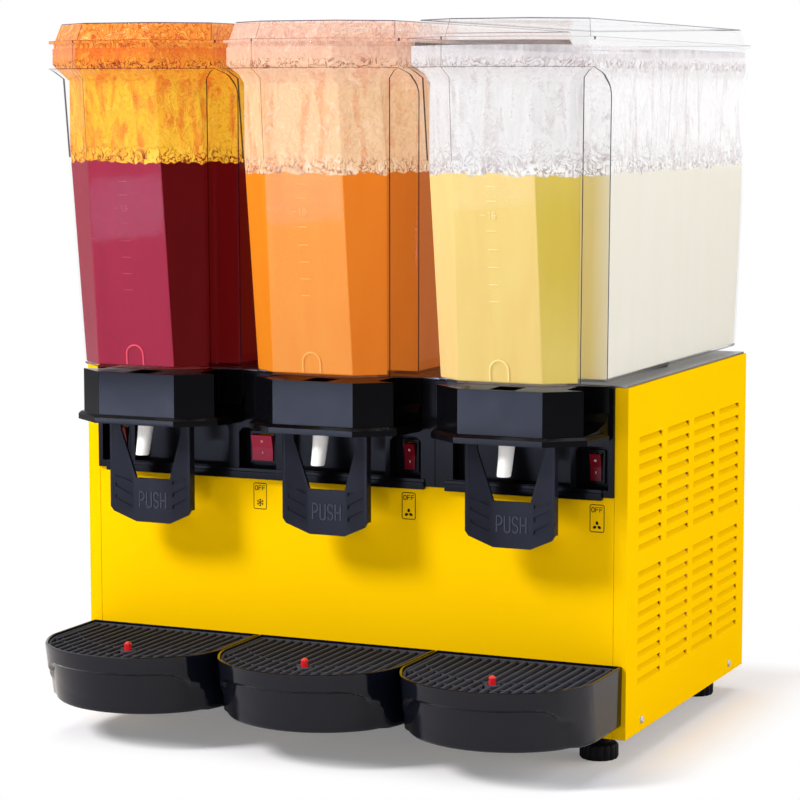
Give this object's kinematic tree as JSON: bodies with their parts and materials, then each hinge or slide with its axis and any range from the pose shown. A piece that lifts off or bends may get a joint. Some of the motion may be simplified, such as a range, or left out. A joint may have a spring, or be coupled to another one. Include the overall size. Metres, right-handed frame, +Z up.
{
  "type": "refrigerated drink dispenser",
  "caption": "Counter-top chilled drink dispenser: clear lift-off bowls with lids over a louvred yellow housing, push levers, nozzles and drip trays.",
  "frame": {"origin": "middle of the footprint, on the surface that the feet stand on", "axes": "+Z up; the taps face -Y; +X to the right seen from the front"},
  "size_m": [0.54, 0.5336, 0.6535],
  "materials": {
    "yellow_paint": "smooth gloss powder coat",
    "black_gloss": "glossy moulded black plastic",
    "black_satin": "satin moulded black plastic",
    "clear_bowl": "clear moulded polycarbonate",
    "stainless": "brushed stainless steel",
    "zinc_steel": "zinc-plated folded sheet",
    "fin_aluminium": "plain aluminium sheet",
    "motor_aluminium": "die-cast aluminium",
    "compressor_black": "black stove enamel",
    "white_silicone": "soft white silicone",
    "white_paddle": "white moulded plastic",
    "red_rocker": "translucent red plastic",
    "red_float": "red moulded plastic",
    "foot_black": "black rubber-faced plastic",
    "seal_rubber": "soft black rubber"
  },
  "bodies": {
    "housing": {"base_pan": "zinc_steel", "front_panel": "yellow_paint", "left_side_panel": "yellow_paint", "right_side_panel": "yellow_paint", "rear_panel": "yellow_paint", "deck": "stainless", "fascia_double": "black_gloss", "fascia_single": "black_gloss", "compressor": "compressor_black", "condenser": "fin_aluminium", "fan_bracket": "fin_aluminium", "thermostat": "black_satin", "cable_gland": "black_satin", "collar_left": "black_satin", "evaporator_left": "stainless", "bowl_seal_left": "seal_rubber", "mixer_motor_left": "motor_aluminium", "collar_middle": "black_satin", "evaporator_middle": "stainless", "bowl_seal_middle": "seal_rubber", "mixer_motor_middle": "motor_aluminium", "collar_right": "black_satin", "evaporator_right": "stainless", "bowl_seal_right": "seal_rubber", "mixer_motor_right": "motor_aluminium"},
    "bowl_body_left": {"bowl_left": "clear_bowl", "nozzle_left": "white_silicone"},
    "lid_body_left": {"lid_left": "clear_bowl"},
    "lever_body_left": {"lever_left": "black_satin"},
    "tray_body_left": {"tray_left": "black_gloss"},
    "grille_body_left": {"grille_left": "black_satin"},
    "float_body_left": {"float_left": "red_float"},
    "agitator_body_left": {"agitator_left": "white_paddle"},
    "bowl_body_middle": {"bowl_middle": "clear_bowl", "nozzle_middle": "white_silicone"},
    "lid_body_middle": {"lid_middle": "clear_bowl"},
    "lever_body_middle": {"lever_middle": "black_satin"},
    "tray_body_middle": {"tray_middle": "black_gloss"},
    "grille_body_middle": {"grille_middle": "black_satin"},
    "float_body_middle": {"float_middle": "red_float"},
    "agitator_body_middle": {"agitator_middle": "white_paddle"},
    "bowl_body_right": {"bowl_right": "clear_bowl", "nozzle_right": "white_silicone"},
    "lid_body_right": {"lid_right": "clear_bowl"},
    "lever_body_right": {"lever_right": "black_satin"},
    "tray_body_right": {"tray_right": "black_gloss"},
    "grille_body_right": {"grille_right": "black_satin"},
    "float_body_right": {"float_right": "red_float"},
    "agitator_body_right": {"agitator_right": "white_paddle"},
    "rocker_left_body": {"rocker_left": "red_rocker"},
    "rocker_cooling_body": {"rocker_cooling": "red_rocker"},
    "rocker_middle_body": {"rocker_middle": "red_rocker"},
    "rocker_right_body": {"rocker_right": "red_rocker"},
    "fan_body": {"fan_blades": "black_satin"},
    "foot_front_left_body": {"foot_front_left": "foot_black"},
    "foot_front_right_body": {"foot_front_right": "foot_black"},
    "foot_rear_left_body": {"foot_rear_left": "foot_black"},
    "foot_rear_right_body": {"foot_rear_right": "foot_black"}
  },
  "joints": [
    {"name": "bowl_left_lift", "type": "slide", "parent": "housing", "child": "bowl_body_left", "axis": [0, 0, 1], "range_m": [0, 0.16]},
    {"name": "lid_left_lift", "type": "slide", "parent": "bowl_body_left", "child": "lid_body_left", "axis": [0, 0, 1], "range_m": [0, 0.06]},
    {"name": "lever_left_push", "type": "hinge", "parent": "housing", "child": "lever_body_left", "pos_m": [-0.178, -0.16165, 0.309], "axis": [1, 0, 0], "range_deg": [0, 14], "stiffness_Nm_per_rad": 1, "springref_deg": -8.59},
    {"name": "agitator_left_spin", "type": "hinge", "parent": "housing", "child": "agitator_body_left", "pos_m": [-0.178, 0.0725, 0.398], "axis": [0, 0, 1], "continuous": true},
    {"name": "tray_left_pull", "type": "slide", "parent": "housing", "child": "tray_body_left", "axis": [0, -1, 0], "range_m": [0, 0.12]},
    {"name": "grille_left_lift", "type": "slide", "parent": "tray_body_left", "child": "grille_body_left", "axis": [0, 0, 1], "range_m": [0, 0.06]},
    {"name": "float_left_rise", "type": "slide", "parent": "tray_body_left", "child": "float_body_left", "axis": [0, 0, 1], "range_m": [0, 0.01]},
    {"name": "bowl_middle_lift", "type": "slide", "parent": "housing", "child": "bowl_body_middle", "axis": [0, 0, 1], "range_m": [0, 0.16]},
    {"name": "lid_middle_lift", "type": "slide", "parent": "bowl_body_middle", "child": "lid_body_middle", "axis": [0, 0, 1], "range_m": [0, 0.06]},
    {"name": "lever_middle_push", "type": "hinge", "parent": "housing", "child": "lever_body_middle", "pos_m": [0, -0.16165, 0.309], "axis": [1, 0, 0], "range_deg": [0, 14], "stiffness_Nm_per_rad": 1, "springref_deg": -8.59},
    {"name": "agitator_middle_spin", "type": "hinge", "parent": "housing", "child": "agitator_body_middle", "pos_m": [0, 0.0725, 0.398], "axis": [0, 0, 1], "continuous": true},
    {"name": "tray_middle_pull", "type": "slide", "parent": "housing", "child": "tray_body_middle", "axis": [0, -1, 0], "range_m": [0, 0.12]},
    {"name": "grille_middle_lift", "type": "slide", "parent": "tray_body_middle", "child": "grille_body_middle", "axis": [0, 0, 1], "range_m": [0, 0.06]},
    {"name": "float_middle_rise", "type": "slide", "parent": "tray_body_middle", "child": "float_body_middle", "axis": [0, 0, 1], "range_m": [0, 0.01]},
    {"name": "bowl_right_lift", "type": "slide", "parent": "housing", "child": "bowl_body_right", "axis": [0, 0, 1], "range_m": [0, 0.16]},
    {"name": "lid_right_lift", "type": "slide", "parent": "bowl_body_right", "child": "lid_body_right", "axis": [0, 0, 1], "range_m": [0, 0.06]},
    {"name": "lever_right_push", "type": "hinge", "parent": "housing", "child": "lever_body_right", "pos_m": [0.178, -0.16165, 0.309], "axis": [1, 0, 0], "range_deg": [0, 14], "stiffness_Nm_per_rad": 1, "springref_deg": -8.59},
    {"name": "agitator_right_spin", "type": "hinge", "parent": "housing", "child": "agitator_body_right", "pos_m": [0.178, 0.0725, 0.398], "axis": [0, 0, 1], "continuous": true},
    {"name": "tray_right_pull", "type": "slide", "parent": "housing", "child": "tray_body_right", "axis": [0, -1, 0], "range_m": [0, 0.12]},
    {"name": "grille_right_lift", "type": "slide", "parent": "tray_body_right", "child": "grille_body_right", "axis": [0, 0, 1], "range_m": [0, 0.06]},
    {"name": "float_right_rise", "type": "slide", "parent": "tray_body_right", "child": "float_body_right", "axis": [0, 0, 1], "range_m": [0, 0.01]},
    {"name": "rocker_left_tilt", "type": "hinge", "parent": "housing", "child": "rocker_left_body", "pos_m": [-0.238, -0.1085, 0.2655], "axis": [-1, 0, 0], "range_deg": [0, 16]},
    {"name": "rocker_cooling_tilt", "type": "hinge", "parent": "housing", "child": "rocker_cooling_body", "pos_m": [-0.089, -0.1085, 0.2655], "axis": [-1, 0, 0], "range_deg": [0, 16]},
    {"name": "rocker_middle_tilt", "type": "hinge", "parent": "housing", "child": "rocker_middle_body", "pos_m": [0.06, -0.1085, 0.2655], "axis": [-1, 0, 0], "range_deg": [0, 16]},
    {"name": "rocker_right_tilt", "type": "hinge", "parent": "housing", "child": "rocker_right_body", "pos_m": [0.238, -0.1085, 0.2655], "axis": [-1, 0, 0], "range_deg": [0, 16]},
    {"name": "fan_spin", "type": "hinge", "parent": "housing", "child": "fan_body", "pos_m": [0.205, 0.0525, 0.155], "axis": [1, 0, 0], "continuous": true},
    {"name": "foot_front_left_turn", "type": "hinge", "parent": "housing", "child": "foot_front_left_body", "pos_m": [-0.235, -0.0875, 0.013], "axis": [0, 0, 1], "continuous": true},
    {"name": "foot_front_right_turn", "type": "hinge", "parent": "housing", "child": "foot_front_right_body", "pos_m": [0.235, -0.0875, 0.013], "axis": [0, 0, 1], "continuous": true},
    {"name": "foot_rear_left_turn", "type": "hinge", "parent": "housing", "child": "foot_rear_left_body", "pos_m": [-0.235, 0.1965, 0.013], "axis": [0, 0, 1], "continuous": true},
    {"name": "foot_rear_right_turn", "type": "hinge", "parent": "housing", "child": "foot_rear_right_body", "pos_m": [0.235, 0.1965, 0.013], "axis": [0, 0, 1], "continuous": true}
  ]
}
